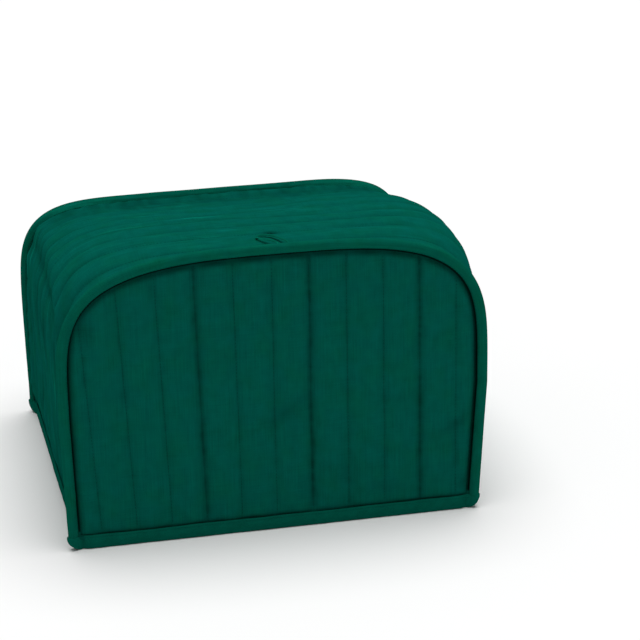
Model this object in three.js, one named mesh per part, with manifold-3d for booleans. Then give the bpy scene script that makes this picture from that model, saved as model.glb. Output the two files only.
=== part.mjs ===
import * as THREE from 'three';
import { mergeVertices } from 'three/addons/utils/BufferGeometryUtils.js';
import Module from 'manifold-3d';

// A quilted fabric cover that stands on its hem like a tea cosy: two arched panels, a gusset
// between them, binding folded over both arched seams and over the hem, and a small loop.
// Millimetres, +Z up, the front towards -Y, the origin on the ground under the middle.

const wasm = await Module();
wasm.setup();

// Driving sizes
const quiltPitch = 25.4; // one row of stitching to the next
const stitchThickness = 2.4; // cloth pressed flat by the stitching
const crownThickness = 5.2; // cloth between two rows
const bindingWidth = 9.5;
const bindingWall = 1; // one layer of the folded tape
const lipThickness = 1.2; // edge of the cloth, squeezed inside the tape
const lipReach = 7.6;
const hemHeight = 10;
const hemWeb = 1.6; // bottom of the hem tape
const hemCorner = 6; // corner radius of the hem, seen from above
const gap = 0.3; // clear space between two pieces
const flangeBase = hemHeight + 2 * gap; // lowest height of the flanges, above the hem tape
const gussetDepth = 243.6; // front seam to back seam along the hem
const backLean = 0.07; // the back leans forward this much for each millimetre of height
const frontSeamY = -123.03;
const seamMiddleX = -3.1; // the fuller right side of the gusset sets the seams off centre
const frontTilt = THREE.MathUtils.degToRad(26); // the front binding leans forward
const backSideTilt = THREE.MathUtils.degToRad(56); // the back one lies back along the sides
const archStations = 38; // steps along an arch, hem to hem

// Half outlines of the two seams: half width at the hem and at the spring of the curve,
// height of the spring and of the crown, and how square the corner is along X and Z.
const seams = {
  front: {
    left: { hem: 137.5, half: 139.5, spring: 95, crown: 199, squareX: 2.9, squareZ: 4.7 },
    right: { hem: 134, half: 139.5, spring: 95, crown: 199, squareX: 3.3, squareZ: 4.6 },
  },
  back: {
    left: { hem: 140.5, half: 141, spring: 45, crown: 165.5, squareX: 7, squareZ: 7 },
    right: { hem: 135.5, half: 140.3, spring: 45, crown: 165.5, squareX: 7, squareZ: 7 },
  },
};

// Between the seams the gusset fills out, more at the right, and its corners soon turn square.
const fullness = { left: 4, right: 13.5, crown: 9, peak: 0.8 };
const squaringDepth = 0.2; // share of the depth in which the corners turn square

// Soft hollows and swellings of the cloth, outward positive.
const panelFolds = [
  { x: -15, z: 118, reachX: 30, reachZ: 14, out: -1.0 },
  { x: -4, z: 98, reachX: 12, reachZ: 22, out: -0.9 },
  { x: 60, z: 60, reachX: 40, reachZ: 26, out: 0.9 },
  { x: -95, z: 62, reachX: 26, reachZ: 30, out: -0.8 },
  { x: 92, z: 150, reachX: 30, reachZ: 22, out: 0.8 },
];
const gussetFolds = [
  { side: -0.42, depth: 0.45, reachSide: 0.1, reachDepth: 0.16, out: -2.4 },
  { side: -0.12, depth: 0.6, reachSide: 0.16, reachDepth: 0.14, out: -1.6 },
  { side: 0.16, depth: 0.38, reachSide: 0.14, reachDepth: 0.12, out: -1.4 },
  { side: 0.36, depth: 0.62, reachSide: 0.08, reachDepth: 0.12, out: 1.2 },
  { side: -0.8, depth: 0.5, reachSide: 0.12, reachDepth: 0.22, out: -1.8 },
  { side: 0.78, depth: 0.42, reachSide: 0.14, reachDepth: 0.2, out: -1.6 },
];

const lerp = THREE.MathUtils.lerp;
const smoothstep = THREE.MathUtils.smoothstep;
const clamp = THREE.MathUtils.clamp;

// The height of a bump at a distance from its centre, given in reaches.
const bump = (a, b) => Math.exp(-(a * a + b * b));

// One side's outline of the cover at a share of its depth, 0 at the front and 1 at the back.
function halfOutline(depth, side) {
  const front = seams.front[side];
  const back = seams.back[side];
  const swell = Math.sin(Math.PI * depth ** fullness.peak);
  const squaring = (1 - Math.exp(-depth / squaringDepth)) / (1 - Math.exp(-1 / squaringDepth));
  const spring = lerp(front.spring, back.spring, squaring);
  const crown = lerp(front.crown, back.crown, depth) + fullness.crown * swell;
  const half = lerp(front.half, back.half, depth) + fullness[side] * swell;
  const hem = lerp(front.hem, back.hem, depth);
  const squareX = lerp(front.squareX, back.squareX, squaring);
  const squareZ = lerp(front.squareZ, back.squareZ, squaring);
  const points = [];
  for (let i = 0; i < 20; i++) {
    const z = lerp(flangeBase, spring, i / 20);
    const plain = lerp(hem, lerp(front.half, back.half, depth), i / 20);
    const x = plain + fullness[side] * swell * smoothstep(i / 20, 0, 1);
    points.push([x, z]);
  }
  for (let i = 0; i <= 60; i++) {
    const angle = (Math.PI / 2) * (i / 60);
    const x = half * Math.cos(angle) ** (2 / squareX);
    const z = spring + (crown - spring) * Math.sin(angle) ** (2 / squareZ);
    points.push([i === 60 ? 0 : x, z]);
  }
  return points;
}

// Evenly spaced stations along one outline, from the left hem to the right hem,
// each with its outward direction and its share of the way down, 0 midway over the top.
// The ones at the hem point level.
function outlineStations(depth, steps = archStations) {
  const left = halfOutline(depth, 'left').map(([x, z]) => new THREE.Vector2(-x, z));
  const right = halfOutline(depth, 'right').map(([x, z]) => new THREE.Vector2(x, z));
  const outline = new THREE.Path([...left, ...right.reverse().slice(1)]);
  const points = outline.getSpacedPoints(steps);
  return points.map((point, i) => {
    const before = points[Math.max(i - 1, 0)];
    const after = points[Math.min(i + 1, steps)];
    const along = after.clone().sub(before).normalize();
    let out = new THREE.Vector2(-along.y, along.x);
    if (i === 0) out = new THREE.Vector2(-1, 0);
    if (i === steps) out = new THREE.Vector2(1, 0);
    const down = Math.abs((2 * i) / steps - 1);
    return { x: point.x, z: point.y, outX: out.x, outZ: out.y, down };
  });
}

// The two ends of the cover. Ahead is the distance away from the gusset. A flange leans ahead
// by its tilt; the back one stands up over the top only.
const ends = {
  front: {
    depth: 0,
    stations: outlineStations(0),
    tiltAt: () => frontTilt,
    depthAt: (z, ahead) => frontSeamY - ahead,
  },
  back: {
    depth: 1,
    stations: outlineStations(1),
    tiltAt: ({ down }) => backSideTilt * clamp((down - 0.2) / 0.7, 0, 1),
    depthAt: (z, ahead) => frontSeamY + gussetDepth - backLean * z + ahead,
  },
};

// A point of the flange, from its reach along the flange and its height across it,
// as [out from the seam, ahead].
function flangePoint(tilt, reach, across) {
  const out = reach * Math.cos(tilt) - across * Math.sin(tilt);
  const ahead = reach * Math.sin(tilt) + across * Math.cos(tilt);
  return [out, ahead];
}

function signedVolume(position, index) {
  const a = new THREE.Vector3();
  const b = new THREE.Vector3();
  const c = new THREE.Vector3();
  let volume = 0;
  for (let i = 0; i < index.length; i += 3) {
    a.fromArray(position, index[i] * 3);
    b.fromArray(position, index[i + 1] * 3);
    c.fromArray(position, index[i + 2] * 3);
    volume += a.dot(b.cross(c));
  }
  return volume;
}

function indexedGeometry(position, index) {
  const facing = signedVolume(position, index) > 0 ? index : [...index].reverse();
  const geometry = new THREE.BufferGeometry();
  geometry.setAttribute('position', new THREE.Float32BufferAttribute(position, 3));
  geometry.setIndex(facing);
  return geometry;
}

// A closed solid through a row of rings with equal counts of points. Both end rings are level.
// The steps of a ring named as turned are split along their other diagonal, so that
// the faces of two pieces that lie side by side twist alike.
function solidThroughRings(rings, capped = endCap, turned = []) {
  const count = rings[0].length;
  const last = (rings.length - 1) * count;
  const position = rings.flat(2);
  const index = [];
  for (let start = 0; start < last; start += count) {
    for (let i = 0; i < count; i++) {
      const a = start + i;
      const b = start + ((i + 1) % count);
      if (turned.includes(i)) index.push(a, b, a + count, b, b + count, a + count);
      else index.push(a, b, b + count, a, b + count, a + count);
    }
  }
  index.push(...capped(rings[0], 0, -1), ...capped(rings.at(-1), last, 1));
  return indexedGeometry(position, index);
}

// The triangles that close an end ring, wound along with it or against it.
function endCap(ring, start, direction) {
  const flat = ring.map(([x, y]) => new THREE.Vector2(x, y));
  const wanted = direction * Math.sign(THREE.ShapeUtils.area(flat));
  const triangles = THREE.ShapeUtils.triangulateShape(flat, []);
  return triangles.flatMap((corners) => {
    const turn = Math.sign(THREE.ShapeUtils.area(corners.map((k) => flat[k])));
    const ordered = turn === wanted ? corners : [...corners].reverse();
    return ordered.map((k) => start + k);
  });
}

// The same for a ring made of one face's points and then the other's, run back.
function stripCap(ring, start, direction) {
  const index = [];
  for (let k = 0; k + 1 < ring.length / 2; k++) {
    const a = start + k;
    const b = start + k + 1;
    const c = start + ring.length - 2 - k;
    const d = start + ring.length - 1 - k;
    if (direction > 0) index.push(a, b, c, a, c, d);
    else index.push(b, a, c, c, a, d);
  }
  return index;
}

function toSolid(geometry) {
  const bare = geometry.clone();
  bare.deleteAttribute('normal');
  bare.deleteAttribute('uv');
  const merged = mergeVertices(bare, 1e-4);
  const vertProperties = merged.attributes.position.array;
  const triVerts = new Uint32Array(merged.index.array);
  return new wasm.Manifold(new wasm.Mesh({ numProp: 3, vertProperties, triVerts }));
}

function toGeometry(solid) {
  const mesh = solid.getMesh();
  return indexedGeometry(Array.from(mesh.vertProperties), Array.from(mesh.triVerts));
}

// Fullness of the quilting at a place between two rows of stitching, 0 on a row and 1 midway.
function quiltFullness(place) {
  const share = place / quiltPitch;
  return Math.abs(Math.sin(Math.PI * share)) ** 0.8;
}

function quiltThickness(place) {
  return lerp(stitchThickness, crownThickness, quiltFullness(place));
}

// The cover is worked out in a local frame, X and Z as they are and Y ahead of the seam
// turned towards the viewer, and then set at the end that it belongs to.
function placeAt(end, geometry) {
  const position = geometry.attributes.position;
  for (let i = 0; i < position.count; i++) {
    position.setY(i, end.depthAt(position.getZ(i), -position.getY(i)));
  }
  return indexedGeometry(Array.from(position.array), Array.from(geometry.index.array));
}

// A section swept along a seam, hem to hem, no lower than its base.
// The section gives points [out, ahead] for a tilt of the flange.
function sweepAlongSeam(end, section, turned, base = flangeBase) {
  const rings = end.stations.map((station) => section(end.tiltAt(station)).map(([out, ahead]) => {
    const x = station.x + out * station.outX;
    const z = Math.max(station.z + out * station.outZ, base);
    return [x, -ahead, z];
  }));
  return solidThroughRings(rings, endCap, turned);
}

const slotHalf = lipThickness + 1.5 * gap; // the tape holds two edges of cloth
const flangeHalf = slotHalf + bindingWall;

// How far a flange lies back, from 0 at the front one's tilt to 1 along the back's sides.
const lyingBack = (tilt) => smoothstep(tilt, frontTilt, backSideTilt);

// Tape folded over the two edges of an arched seam. Where it lies back its edges
// start further out, clear of the panel.
function bindingSection(tilt) {
  const start = lerp(2, 3.4, lyingBack(tilt));
  const slotEnd = lipReach + gap;
  const roundReach = bindingWidth - 0.9;
  const roundAcross = flangeHalf - 1.1;
  const section = [
    [start, -flangeHalf],
    [roundReach, -flangeHalf],
    [bindingWidth, -roundAcross],
    [bindingWidth, roundAcross],
    [roundReach, flangeHalf],
    [start, flangeHalf],
    [start, slotHalf],
    [slotEnd, slotHalf],
    [slotEnd, -slotHalf],
    [start, -slotHalf],
  ];
  return section.map(([reach, across]) => flangePoint(tilt, reach, across));
}

function makeBinding(end) {
  return placeAt(end, sweepAlongSeam(end, bindingSection, [8], flangeBase + gap));
}

const panelAhead = 1.7; // the middle of a panel, ahead of its seam
const tongueBottom = hemWeb + gap + 0.1; // the tucked edges of the cloth inside the hem tape
const tongueTop = 16;
const tongueHalf = 0.8;
const firstLine = -153.75; // the row of stitching just past the left edge of a panel
const panelLines = 13;
const panelRimSteps = 55; // steps along a panel's rim, out of step with the stations
const lineLean = 6; // the rows at the left lean in by this much towards the hem
const leanHeight = 107; // height at which the rows stand at their even pitch

// Where a row of stitching of a panel, or a place between two rows, lies at a height.
function panelLineX(row, z, lean) {
  const x = firstLine + quiltPitch * row;
  const share = Math.max(0, -x / 128);
  return x + (lean * share * (leanHeight - z)) / leanHeight;
}

// The edge of a panel inside its binding.
function panelLip(tilt) {
  const inside = -4;
  const bend = lerp(-0.3, -1, lyingBack(tilt));
  const turned = lerp(1.4, 2.2, lyingBack(tilt));
  return [
    [inside, 0.7],
    [bend, 0.7],
    flangePoint(tilt, 0.9, gap / 2),
    flangePoint(tilt, lipReach, gap / 2),
    flangePoint(tilt, lipReach, gap / 2 + lipThickness),
    flangePoint(tilt, turned, gap / 2 + lipThickness),
    [bend, 2.1],
    [inside, 2.1],
  ];
}

// An arched panel with upright rows of quilting, its edges thin where they meet the seams.
function makePanel(end, lean, folds) {
  const steps = 3;
  const rows = 8;
  const crown = seams.front.left.crown + 8;
  const outOf = (x, z) => folds.reduce(
    (sum, fold) => sum + fold.out * bump((x - fold.x) / fold.reachX, (z - fold.z) / fold.reachZ),
    0,
  );
  const rings = [];
  for (let r = 0; r <= rows; r++) {
    const z = lerp(hemHeight - 2, crown, r / rows);
    const face = [];
    const back = [];
    for (let i = 0; i <= panelLines * steps; i++) {
      const x = panelLineX(i / steps, z, lean);
      const half = quiltThickness((i / steps) * quiltPitch) / 2;
      const ahead = panelAhead + outOf(x, z);
      face.push([x, -ahead - half, z]);
      back.push([x, -ahead + half, z]);
    }
    rings.push([...face, ...back.reverse()]);
  }
  const slab = toSolid(solidThroughRings(rings));

  const rimStations = outlineStations(end.depth, panelRimSteps);
  const outline = new THREE.Shape(rimStations.map(({ x, z }) => new THREE.Vector2(x, z)));
  const rim = 2.4;
  const edge = 7;
  const rimInset = 1.5;
  const arch = new THREE.ExtrudeGeometry(outline, {
    depth: rim,
    bevelEnabled: true,
    bevelThickness: 1.6,
    bevelSize: edge,
    bevelOffset: -edge - rimInset,
    bevelSegments: 1,
    curveSegments: 1,
  });
  arch.rotateX(Math.PI / 2);
  arch.translate(0, rim / 2 - panelAhead, 0);

  const halfHem = seams.front.right.hem - hemCorner - 1;
  const tongue = new THREE.BoxGeometry(2 * halfHem, 2 * tongueHalf, tongueTop - tongueBottom);
  tongue.translate(0, -panelAhead, (tongueTop + tongueBottom) / 2);

  const lip = toSolid(sweepAlongSeam(end, panelLip, [4]));
  const solid = slab.intersect(toSolid(arch)).add(lip).add(toSolid(tongue));
  return placeAt(end, toGeometry(solid));
}

const gussetFirstLine = 16; // from the front seam to the first row of stitching
const gussetLines = 9;
const rimHalf = 0.9; // half the thickness of the gusset where it turns into a flange

// Where the flange's face meets the face of the gusset.
function cornerPoint(tilt, out, across) {
  const reach = (out + across * Math.sin(tilt)) / Math.cos(tilt);
  return flangePoint(tilt, reach, across);
}

// Places across the gusset from front to back, each with the share of full quilting there.
function gussetPlaces() {
  const rows = [0];
  for (let k = 0; k < gussetLines; k++) rows.push(gussetFirstLine + k * quiltPitch);
  rows.push(gussetDepth);
  const places = [];
  for (let k = 0; k + 1 < rows.length; k++) {
    const width = rows[k + 1] - rows[k];
    const narrow = Math.min(1, width / quiltPitch) ** 2;
    for (const share of [1 / 3, 2 / 3]) {
      const full = Math.sin(Math.PI * share) ** 0.8 * narrow;
      places.push({ at: rows[k] + width * share, full });
    }
    if (k + 2 < rows.length) places.push({ at: rows[k + 1], full: 0 });
  }
  places.pop();
  return places;
}

// The long strip over the sides and the top, quilted along its length.
function makeGusset() {
  const columns = gussetPlaces().map(({ at, full }) => {
    const depth = at / gussetDepth;
    return { depth, full, stations: outlineStations(depth) };
  });
  const edge = -gap / 2 - lipThickness;
  const rings = [];
  for (let i = 0; i <= archStations; i++) {
    const side = (2 * i) / archStations - 1;
    const flange = (end, [out, ahead]) => {
      const station = end.stations[i];
      const z = station.z + out * station.outZ;
      return [station.x + out * station.outX, end.depthAt(z, ahead), z];
    };
    const outer = [];
    const inner = [];
    const { front, back } = ends;
    const frontLean = front.tiltAt(front.stations[i]);
    const backLie = back.tiltAt(back.stations[i]);
    outer.push(flange(front, flangePoint(frontLean, lipReach, edge)));
    inner.push(flange(front, flangePoint(frontLean, lipReach, -gap / 2)));
    outer.push(flange(front, cornerPoint(frontLean, rimHalf, edge)));
    inner.push(flange(front, cornerPoint(frontLean, -rimHalf, -gap / 2)));
    for (const { depth, full, stations } of columns) {
      const { x, z, outX, outZ } = stations[i];
      const high = smoothstep(z, hemHeight, 2.5 * hemHeight);
      let soft = 0;
      for (const fold of gussetFolds) {
        const across = (side - fold.side) / fold.reachSide;
        soft += fold.out * bump(across, (depth - fold.depth) / fold.reachDepth);
      }
      const half = lerp(stitchThickness, crownThickness, full * high) / 2;
      const y = frontSeamY + depth * (gussetDepth - backLean * z);
      for (const [chain, out] of [[outer, 1.2 * half], [inner, -0.8 * half]]) {
        const move = out + soft * high;
        chain.push([x + move * outX, y, z + move * outZ]);
      }
    }
    outer.push(flange(back, cornerPoint(backLie, rimHalf, edge)));
    inner.push(flange(back, cornerPoint(backLie, -rimHalf, -gap / 2)));
    outer.push(flange(back, flangePoint(backLie, lipReach, edge)));
    inner.push(flange(back, flangePoint(backLie, lipReach, -gap / 2)));
    rings.push([...outer, ...inner.reverse()]);
  }
  for (const z of [hemHeight + gap, tongueBottom]) {
    rings.unshift(tuckedRing(rings[0], -1, z));
    rings.push(tuckedRing(rings.at(-1), 1, z));
  }
  return solidThroughRings(rings, stripCap, [0, rings[0].length / 2]);
}

// The lower edge of the gusset inside the hem tape, its ends drawn in from the corners.
function tuckedRing(ring, sign, z) {
  const count = ring.length / 2;
  const first = frontSeamY + 6;
  const last = frontSeamY + gussetDepth - 7;
  const step = 0.6;
  return ring.map(([, y], i) => {
    const k = i < count ? i : ring.length - 1 - i;
    const side = i < count ? 1 : -1;
    const tucked = Math.min(Math.max(y, first + step * k), last - step * (count - 1 - k));
    const along = (tucked - frontSeamY) / gussetDepth;
    const hand = sign < 0 ? 'left' : 'right';
    const hem = lerp(seams.front[hand].hem, seams.back[hand].hem, along);
    return [sign * (hem + side * tongueHalf), tucked, z];
  });
}

// The hem seen from above, at a distance outside its middle line.
function hemOutline(outside) {
  const frontY = frontSeamY - panelAhead;
  const backY = frontSeamY + gussetDepth - backLean * (hemHeight / 2 + hemWeb / 2) + panelAhead;
  const corners = [
    { x: seams.front.right.hem - hemCorner, y: frontY + hemCorner, from: -90 },
    { x: seams.back.right.hem - hemCorner, y: backY - hemCorner, from: 0 },
    { x: hemCorner - seams.back.left.hem, y: backY - hemCorner, from: 90 },
    { x: hemCorner - seams.front.left.hem, y: frontY + hemCorner, from: 180 },
  ];
  const outline = [];
  for (const { x, y, from } of corners) {
    for (let i = 0; i <= 5; i++) {
      const angle = THREE.MathUtils.degToRad(from + 18 * i);
      const radius = hemCorner + outside;
      outline.push(new THREE.Vector2(x + radius * Math.cos(angle), y + radius * Math.sin(angle)));
    }
  }
  return outline;
}

function prism(outline, bottom, top) {
  const geometry = new THREE.ExtrudeGeometry(new THREE.Shape(outline), {
    depth: top - bottom,
    bevelEnabled: false,
  });
  geometry.translate(0, 0, bottom);
  return toSolid(geometry);
}

// The lower end of an arched binding, wrapped by the hem tape, with a round lower corner.
function hemEar(end, sign) {
  const inside = -1;
  const corner = 9;
  const outline = new THREE.Shape();
  outline.moveTo(inside, 0);
  outline.lineTo(bindingWidth - corner, 0);
  outline.absarc(bindingWidth - corner, corner, corner, -Math.PI / 2, 0, false);
  outline.lineTo(bindingWidth, hemHeight);
  outline.lineTo(inside, hemHeight);
  const ear = new THREE.ExtrudeGeometry(outline, {
    depth: 2 * flangeHalf,
    bevelEnabled: false,
    curveSegments: 6,
  });
  ear.translate(0, 0, -flangeHalf);
  const ahead = end === ends.front ? -1 : 1;
  const tilt = end.tiltAt(end.stations[0]);
  const reach = new THREE.Vector3(sign * Math.cos(tilt), ahead * Math.sin(tilt), 0);
  const up = new THREE.Vector3(0, 0, 1);
  const across = new THREE.Vector3().crossVectors(reach, up);
  ear.applyMatrix4(new THREE.Matrix4().makeBasis(reach, up, across));
  const { hem } = (end === ends.front ? seams.front : seams.back)[sign < 0 ? 'left' : 'right'];
  ear.translate(sign * hem, end.depthAt(hemHeight / 2, 0), 0);
  return toSolid(ear);
}

// Tape folded up over the lower edges all the way round. The cover stands on it.
function makeHemBinding() {
  let solid = prism(hemOutline(flangeHalf), 0, hemHeight);
  for (const end of [ends.front, ends.back]) {
    for (const sign of [-1, 1]) solid = solid.add(hemEar(end, sign));
  }
  const inside = prism(hemOutline(-flangeHalf), -1, hemHeight + 1);
  const slotOuter = prism(hemOutline(slotHalf), hemWeb, hemHeight + 1);
  const slotInner = prism(hemOutline(-slotHalf), hemWeb - 1, hemHeight + 2);
  return toGeometry(solid.subtract(inside).subtract(slotOuter.subtract(slotInner)));
}

// The height of the gusset's middle layer over a place near the crown.
function topHeight(behind, x) {
  const outline = halfOutline(behind / gussetDepth, x < 0 ? 'left' : 'right');
  const reach = Math.abs(x);
  for (let i = outline.length - 1; i > 0; i--) {
    const [x1, z1] = outline[i - 1];
    const [x0, z0] = outline[i];
    if (reach <= x1) return lerp(z0, z1, (reach - x0) / (x1 - x0));
  }
  return 0;
}

// A narrow loop from behind the front binding, lying back over the gusset.
const loopRadius = 1.1;
const loopLift = 3.4; // the middle of the loop above the middle layer of the gusset
const loopRoute = [
  { x: 7, behind: 1.5 },
  { x: 6, behind: 8 },
  { x: 2, behind: 14 },
  { x: -3, behind: 19 },
  { x: -6, behind: 23 },
  { x: -3, behind: 27 },
  { x: 3, behind: 25 },
  { x: 8, behind: 19 },
  { x: 12, behind: 10 },
  { x: 13, behind: 1.5 },
];

function makeLoop() {
  const points = loopRoute.map(({ x, behind }) => {
    const z = topHeight(behind, x) + loopLift + loopRadius;
    return new THREE.Vector3(x, frontSeamY + behind, z);
  });
  const section = new THREE.Shape();
  section.absarc(0, 0, loopRadius, 0, 2 * Math.PI, false);
  return new THREE.ExtrudeGeometry(section, {
    steps: 26,
    curveSegments: 4,
    bevelEnabled: false,
    extrudePath: new THREE.CatmullRomCurve3(points),
  });
}

const quilted = { color: 0x03443b, roughness: 0.92, metalness: 0 };
const tape = { color: 0x045647, roughness: 0.9, metalness: 0 };

const cover = new THREE.Group();

function addPiece(name, geometry, finish) {
  const piece = new THREE.Mesh(geometry, new THREE.MeshStandardMaterial(finish));
  piece.name = name;
  piece.position.x = seamMiddleX;
  cover.add(piece);
}

addPiece('front_panel', makePanel(ends.front, lineLean, panelFolds), quilted);
addPiece('back_panel', makePanel(ends.back, 0, []), quilted);
addPiece('gusset', makeGusset(), quilted);
addPiece('front_binding', makeBinding(ends.front), tape);
addPiece('back_binding', makeBinding(ends.back), tape);
addPiece('hem_binding', makeHemBinding(), tape);
addPiece('hang_loop', makeLoop(), tape);

export default cover;
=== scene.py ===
"""A quilted cover that stands on its hem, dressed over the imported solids.

Shapes are worked out in millimetres, X to the right, Z up and the front towards -Y,
and each mesh is written in metres.
"""

import math

import bmesh
import bpy
import numpy as np
from mathutils import Matrix, Vector
from mathutils.geometry import delaunay_2d_cdt


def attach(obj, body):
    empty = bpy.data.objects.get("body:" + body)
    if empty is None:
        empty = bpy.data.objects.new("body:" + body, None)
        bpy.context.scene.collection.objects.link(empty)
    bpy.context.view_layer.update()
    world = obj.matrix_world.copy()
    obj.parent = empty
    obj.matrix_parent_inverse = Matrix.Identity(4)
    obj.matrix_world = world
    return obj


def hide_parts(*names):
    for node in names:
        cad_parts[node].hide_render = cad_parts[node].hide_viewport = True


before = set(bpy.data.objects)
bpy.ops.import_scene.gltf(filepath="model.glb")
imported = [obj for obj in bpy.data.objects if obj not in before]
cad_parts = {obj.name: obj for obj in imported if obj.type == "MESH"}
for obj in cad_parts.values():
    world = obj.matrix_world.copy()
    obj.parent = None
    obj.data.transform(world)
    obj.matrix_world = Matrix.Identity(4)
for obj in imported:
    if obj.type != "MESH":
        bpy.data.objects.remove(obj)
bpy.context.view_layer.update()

MM = 0.001

# Driving sizes, the same as the solids'
QUILT_PITCH = 25.4
STITCHED = 2.4  # thickness on a row of stitching
CROWN = 5.2  # thickness midway between two rows
BINDING_WIDTH = 9.5
LIP = 1.2  # thickness of a piece's edge turned into a flange
LIP_REACH = 7.4  # and how far out it reaches
HEM_HEIGHT = 10.0
HEM_WEB = 1.6  # tape below the slot
HEM_CORNER = 6.0
GAP = 0.3  # between neighbours
FLANGE_BASE = HEM_HEIGHT + 2 * GAP
GUSSET_DEPTH = 243.6  # from seam to seam
BACK_LEAN = 0.07  # forward, for each unit up
FRONT_SEAM_Y = -123.03
SEAM_MIDDLE_X = -3.1
FRONT_TILT = math.radians(26)
BACK_SIDE_TILT = math.radians(56)  # the back flange lies back along the sides
PANEL_AHEAD = 1.7  # from the seam to a panel's middle, away from the gusset
FIRST_LINE = -153.75  # X of a panel's first row of stitching
PANEL_LINES = 13
LINE_LEAN = 6.0  # of the front panel's leftmost row, over the height below
LEAN_HEIGHT = 107.0
LEAN_HALF_WIDTH = 128.0
GUSSET_FIRST_LINE = 16.0
GUSSET_LINES = 9
SLOT_HALF = 1.65  # half thickness inside a folded tape
FLANGE_HALF = 2.65  # and outside
TONGUE_HALF = 0.8  # of a piece's lower edge inside the hem tape
TONGUE_BOTTOM = 2.2

# Half width at the hem and at the spring of the arch, heights of spring and crown,
# and how square the corner is along X and Z
SEAMS = {
    "front": {
        "left": dict(hem=137.5, half=139.5, spring=95, crown=199, square_x=2.9, square_z=4.7),
        "right": dict(hem=134, half=139.5, spring=95, crown=199, square_x=3.3, square_z=4.6),
    },
    "back": {
        "left": dict(hem=140.5, half=141, spring=45, crown=165.5, square_x=7, square_z=7),
        "right": dict(hem=135.5, half=140.3, spring=45, crown=165.5, square_x=7, square_z=7),
    },
}
FULLNESS = dict(left=4.0, right=13.5, crown=9.0, peak=0.8)
SQUARING_DEPTH = 0.2

# Stations along an arch, hem to hem, for the gusset and for the rest
GUSSET_STATIONS = 330
STATIONS = 420


def lerp(a, b, t):
    return a + (b - a) * t


def smooth(x, low, high):
    """0 below low, 1 above high, an even slope between."""
    t = np.clip((np.asarray(x, float) - low) / (high - low), 0, 1)
    return t * t * (3 - 2 * t)


def bell(x, middle, reach):
    return np.exp(-(((np.asarray(x, float) - middle) / reach) ** 2))


NOISE_TABLE = 64  # units after which the noise repeats


def noise(u, v, seed):
    """Soft noise from -1 to 1, whose features are about one unit wide."""
    table = np.random.default_rng(seed).uniform(-1, 1, (NOISE_TABLE, NOISE_TABLE))
    u, v = np.broadcast_arrays(np.asarray(u, float) + 31.7, np.asarray(v, float) + 17.3)
    iu, iv = np.floor(u).astype(int), np.floor(v).astype(int)
    fu, fv = u - iu, v - iv
    fu, fv = fu * fu * (3 - 2 * fu), fv * fv * (3 - 2 * fv)
    iu, iv = iu % NOISE_TABLE, iv % NOISE_TABLE
    ju, jv = (iu + 1) % NOISE_TABLE, (iv + 1) % NOISE_TABLE
    low = lerp(table[iu, iv], table[ju, iv], fu)
    high = lerp(table[iu, jv], table[ju, jv], fu)
    return lerp(low, high, fv)


def ridges(u, v, seed):
    """Thin ridges where the noise crosses zero, from 0 to 1."""
    return (1 - np.abs(noise(u, v, seed))) ** 2


def folded(folds, u, v):
    """How far out soft folds stand, each (middle u, v, reach along u, v, out)."""
    total = 0.0
    for middle_u, middle_v, reach_u, reach_v, out in folds:
        total += out * bell(u, middle_u, reach_u) * bell(v, middle_v, reach_v)
    return total


def run_along(points):
    """Distance of each point of a line from its first, along the line."""
    steps = np.linalg.norm(np.diff(points, axis=0), axis=1)
    return np.concatenate([[0], np.cumsum(steps)])


def joined(*parts):
    """Points, or whatever has parts, from arrays of each part."""
    return np.stack(np.broadcast_arrays(*parts), -1)


def above_hem(z):
    return smooth(z, HEM_HEIGHT, 2.5 * HEM_HEIGHT)


def half_outline(depth, side):
    """One side's outline of the cover at a share of its depth, from the hem to the crown."""
    front, back = SEAMS["front"][side], SEAMS["back"][side]
    swell = math.sin(math.pi * depth ** FULLNESS["peak"])
    squaring = (1 - math.exp(-depth / SQUARING_DEPTH)) / (1 - math.exp(-1 / SQUARING_DEPTH))
    spring = lerp(front["spring"], back["spring"], squaring)
    crown = lerp(front["crown"], back["crown"], depth) + FULLNESS["crown"] * swell
    plain = lerp(front["half"], back["half"], depth)
    half = plain + FULLNESS[side] * swell
    hem = lerp(front["hem"], back["hem"], depth)
    square_x = lerp(front["square_x"], back["square_x"], squaring)
    square_z = lerp(front["square_z"], back["square_z"], squaring)
    up = np.arange(40) / 40
    wall_x = lerp(hem, plain, up) + FULLNESS[side] * swell * smooth(up, 0, 1)
    wall_z = lerp(FLANGE_BASE, spring, up)
    turn = np.linspace(0, math.pi / 2, 181)
    arch_x = half * np.clip(np.cos(turn), 0, 1) ** (2 / square_x)
    arch_z = spring + (crown - spring) * np.sin(turn) ** (2 / square_z)
    arch_x[-1] = 0
    return np.concatenate([wall_x, arch_x]), np.concatenate([wall_z, arch_z])


def outline(depth, shares):
    """Places on an outline at shares of its length, left hem to right: x, z, the outward
    direction, and the distance along the cloth from the middle."""
    left_x, left_z = half_outline(depth, "left")
    right_x, right_z = half_outline(depth, "right")
    x = np.concatenate([-left_x, right_x[-2::-1]])
    z = np.concatenate([left_z, right_z[-2::-1]])
    run = np.concatenate([[0], np.cumsum(np.hypot(np.diff(x), np.diff(z)))])
    middle = run[len(left_x) - 1]
    shares = np.asarray(shares, float)

    def at(share):
        place = np.clip(share, 0, 1) * run[-1]
        return np.interp(place, run, x), np.interp(place, run, z)

    step = 1.6 / run[-1]
    (x0, z0), (x1, z1) = at(shares - step), at(shares + step)
    size = np.hypot(x1 - x0, z1 - z0)
    out_x, out_z = -(z1 - z0) / size, (x1 - x0) / size
    level = 1 - smooth(np.minimum(shares, 1 - shares) * run[-1], 0, 12)
    out_x = lerp(out_x, np.where(shares < 0.5, -1, 1), level)
    out_z = lerp(out_z, 0, level)
    size = np.hypot(out_x, out_z)
    px, pz = at(shares)
    return px, pz, out_x / size, out_z / size, shares * run[-1] - middle


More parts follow.
